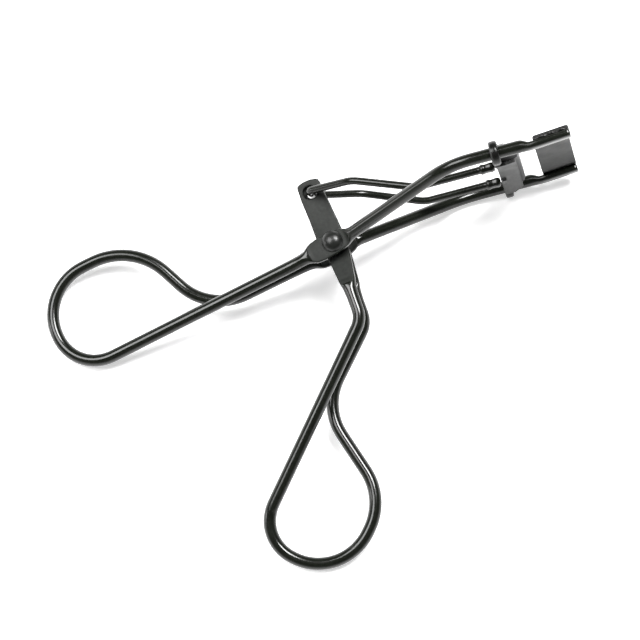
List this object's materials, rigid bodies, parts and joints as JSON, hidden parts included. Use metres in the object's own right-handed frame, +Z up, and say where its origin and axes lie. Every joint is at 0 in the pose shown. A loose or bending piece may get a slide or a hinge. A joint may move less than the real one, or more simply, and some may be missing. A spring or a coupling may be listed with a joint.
{
  "type": "eyelash curler",
  "caption": "Scissor-action eyelash curler of bent round wire, with a curved fixed jaw and a padded jaw that slides along the arms towards it.",
  "frame": {"origin": "centre of the lying tool's outline, on the table", "axes": "+Z up from the table; +X along the length, towards the head; +Y towards the pivot's side. The tool lies on three contacts, so its own plane leans."},
  "size_m": [0.1087, 0.0729, 0.0382],
  "materials": {
    "wire": "satin black, greyer on the flats pressed into the wire",
    "thin_wire": "satin black",
    "jaw_plate": "satin black",
    "weld": "gloss black over a rippled weld bead",
    "rivet": "satin black",
    "pad": "matt"
  },
  "bodies": {
    "frame": {"frame_handle": "wire", "fixed_jaw": "jaw_plate", "jaw_weld_top": "weld", "jaw_weld_bottom": "weld", "pivot_rivet": "rivet", "pivot_spacer_top": "rivet", "pivot_spacer_bottom": "rivet"},
    "lever": {"lever_handle": "wire"},
    "jaw_carriage": {"moving_jaw": "jaw_plate", "lash_pad": "pad", "push_rod": "thin_wire"}
  },
  "joints": [
    {"name": "handle_squeeze", "type": "hinge", "parent": "frame", "child": "lever", "pos_m": [0.00345, 0.02287, 0.01154], "axis": [0.1787, 0.1212, -0.9764], "range_deg": [0, 15.5]},
    {"name": "jaw_slide", "type": "slide", "parent": "frame", "child": "jaw_carriage", "axis": [0.9838, -0.011, 0.1787], "range_m": [0, 0.003]}
  ],
  "couplings": [
    {"joint": "jaw_slide", "follows": "handle_squeeze", "m_per_rad": 0.01108}
  ]
}
